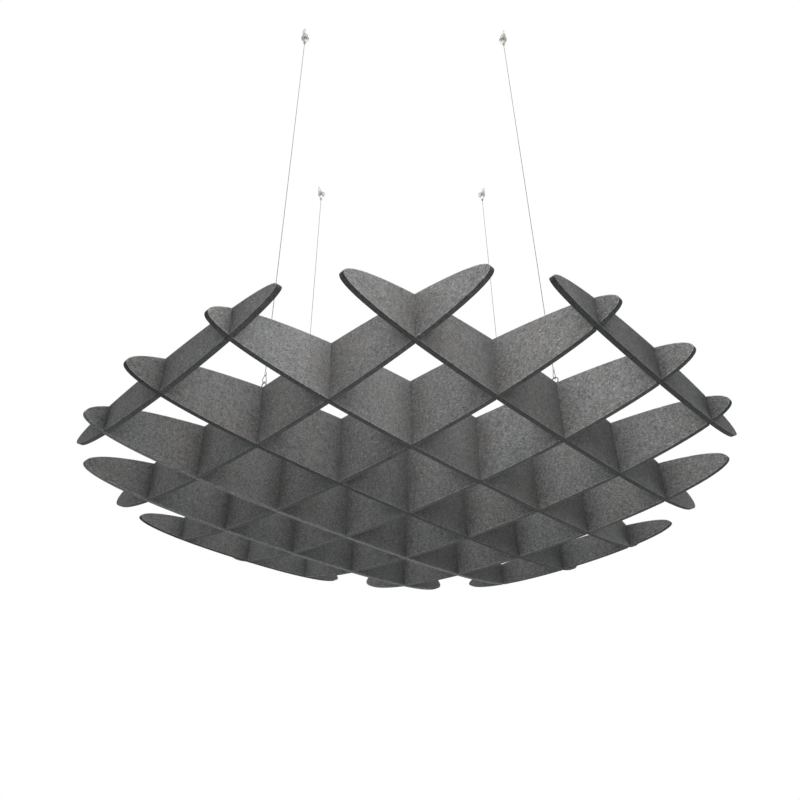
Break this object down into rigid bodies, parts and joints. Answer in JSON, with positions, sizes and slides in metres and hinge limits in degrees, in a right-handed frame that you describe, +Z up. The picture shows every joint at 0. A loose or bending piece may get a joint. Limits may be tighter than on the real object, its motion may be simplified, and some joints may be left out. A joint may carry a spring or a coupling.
{
  "type": "acoustic ceiling baffle",
  "caption": "Round lens-shaped lattice of crossing felt blades, half-lapped at right angles and hung from the ceiling on steel wires with adjustable grippers.",
  "frame": {"origin": "centre of the four ceiling fixings, in the plane of the ceiling", "axes": "+Z up, +X along the A blades, +Y along the B blades; the baffle hangs below Z = 0"},
  "size_m": [1.6082, 1.6082, 1.648],
  "materials": {
    "felt": "pressed heathered felt board, charcoal",
    "ceiling_metal": "satin nickel",
    "gripper_metal": "satin nickel, turned",
    "spring_steel": "bare spring wire",
    "ball_steel": "polished steel balls",
    "wire_steel": "stranded galvanised wire",
    "ferrule_metal": "crimped, dull",
    "eye_steel": "zinc plated, dulled"
  },
  "bodies": {
    "ceiling_fixings": {"ceiling_base_1": "ceiling_metal", "ceiling_cup_1": "ceiling_metal", "ceiling_base_2": "ceiling_metal", "ceiling_cup_2": "ceiling_metal", "ceiling_base_3": "ceiling_metal", "ceiling_cup_3": "ceiling_metal", "ceiling_base_4": "ceiling_metal", "ceiling_cup_4": "ceiling_metal"},
    "lattice": {"blade_a1": "felt", "blade_a2": "felt", "blade_a3": "felt", "blade_a4": "felt", "blade_a5": "felt", "blade_a6": "felt", "blade_a7": "felt", "blade_b1": "felt", "blade_b2": "felt", "blade_b3": "felt", "blade_b4": "felt", "blade_b5": "felt", "blade_b6": "felt", "blade_b7": "felt", "screw_eye_1": "eye_steel", "screw_eye_2": "eye_steel", "screw_eye_3": "eye_steel", "screw_eye_4": "eye_steel"},
    "gripper_1": {"gripper_1": "gripper_metal", "gripper_spring_1": "spring_steel"},
    "release_1": {"release_plunger_1": "gripper_metal", "grip_balls_1": "ball_steel"},
    "wire_1": {"hanging_wire_1": "wire_steel", "wire_ferrule_1": "ferrule_metal"},
    "gripper_2": {"gripper_2": "gripper_metal", "gripper_spring_2": "spring_steel"},
    "release_2": {"release_plunger_2": "gripper_metal", "grip_balls_2": "ball_steel"},
    "wire_2": {"hanging_wire_2": "wire_steel", "wire_ferrule_2": "ferrule_metal"},
    "gripper_3": {"gripper_3": "gripper_metal", "gripper_spring_3": "spring_steel"},
    "release_3": {"release_plunger_3": "gripper_metal", "grip_balls_3": "ball_steel"},
    "wire_3": {"hanging_wire_3": "wire_steel", "wire_ferrule_3": "ferrule_metal"},
    "gripper_4": {"gripper_4": "gripper_metal", "gripper_spring_4": "spring_steel"},
    "release_4": {"release_plunger_4": "gripper_metal", "grip_balls_4": "ball_steel"},
    "wire_4": {"hanging_wire_4": "wire_steel", "wire_ferrule_4": "ferrule_metal"}
  },
  "joints": [
    {"name": "sway_1", "type": "hinge", "parent": "ceiling_fixings", "child": "gripper_1", "pos_m": [0, -0.48, -0.0325], "axis": [0, 1, 0], "range_deg": [-5, 5]},
    {"name": "height_1", "type": "slide", "parent": "gripper_1", "child": "wire_1", "axis": [0, 0, 1], "range_m": [-0.005, 0.01]},
    {"name": "release_1", "type": "slide", "parent": "gripper_1", "child": "release_1", "axis": [0, 0, 1], "range_m": [0, 0.002], "stiffness_N_per_m": 400, "springref_m": -0.003, "deforming": ["gripper_spring_1"]},
    {"name": "sway_2", "type": "hinge", "parent": "ceiling_fixings", "child": "gripper_2", "pos_m": [0.48, 0, -0.0325], "axis": [0, 1, 0], "range_deg": [-5, 5]},
    {"name": "height_2", "type": "slide", "parent": "gripper_2", "child": "wire_2", "axis": [0, 0, 1], "range_m": [-0.005, 0.01]},
    {"name": "release_2", "type": "slide", "parent": "gripper_2", "child": "release_2", "axis": [0, 0, 1], "range_m": [0, 0.002], "stiffness_N_per_m": 400, "springref_m": -0.003, "deforming": ["gripper_spring_2"]},
    {"name": "sway_3", "type": "hinge", "parent": "ceiling_fixings", "child": "gripper_3", "pos_m": [0, 0.48, -0.0325], "axis": [0, 1, 0], "range_deg": [-5, 5]},
    {"name": "height_3", "type": "slide", "parent": "gripper_3", "child": "wire_3", "axis": [0, 0, 1], "range_m": [-0.005, 0.01]},
    {"name": "release_3", "type": "slide", "parent": "gripper_3", "child": "release_3", "axis": [0, 0, 1], "range_m": [0, 0.002], "stiffness_N_per_m": 400, "springref_m": -0.003, "deforming": ["gripper_spring_3"]},
    {"name": "sway_4", "type": "hinge", "parent": "ceiling_fixings", "child": "gripper_4", "pos_m": [-0.48, 0, -0.0325], "axis": [0, 1, 0], "range_deg": [-5, 5]},
    {"name": "height_4", "type": "slide", "parent": "gripper_4", "child": "wire_4", "axis": [0, 0, 1], "range_m": [-0.005, 0.01]},
    {"name": "release_4", "type": "slide", "parent": "gripper_4", "child": "release_4", "axis": [0, 0, 1], "range_m": [0, 0.002], "stiffness_N_per_m": 400, "springref_m": -0.003, "deforming": ["gripper_spring_4"]},
    {"name": "stay_level", "type": "hinge", "parent": "wire_1", "child": "lattice", "pos_m": [0, -0.48, -1.45451], "axis": [0, 1, 0], "range_deg": [-5, 5]}
  ],
  "couplings": [
    {"joint": "sway_2", "follows": "sway_1", "ratio": 1},
    {"joint": "height_2", "follows": "height_1", "ratio": 1},
    {"joint": "sway_3", "follows": "sway_1", "ratio": 1},
    {"joint": "height_3", "follows": "height_1", "ratio": 1},
    {"joint": "sway_4", "follows": "sway_1", "ratio": 1},
    {"joint": "height_4", "follows": "height_1", "ratio": 1},
    {"joint": "stay_level", "follows": "sway_1", "ratio": -1}
  ]
}
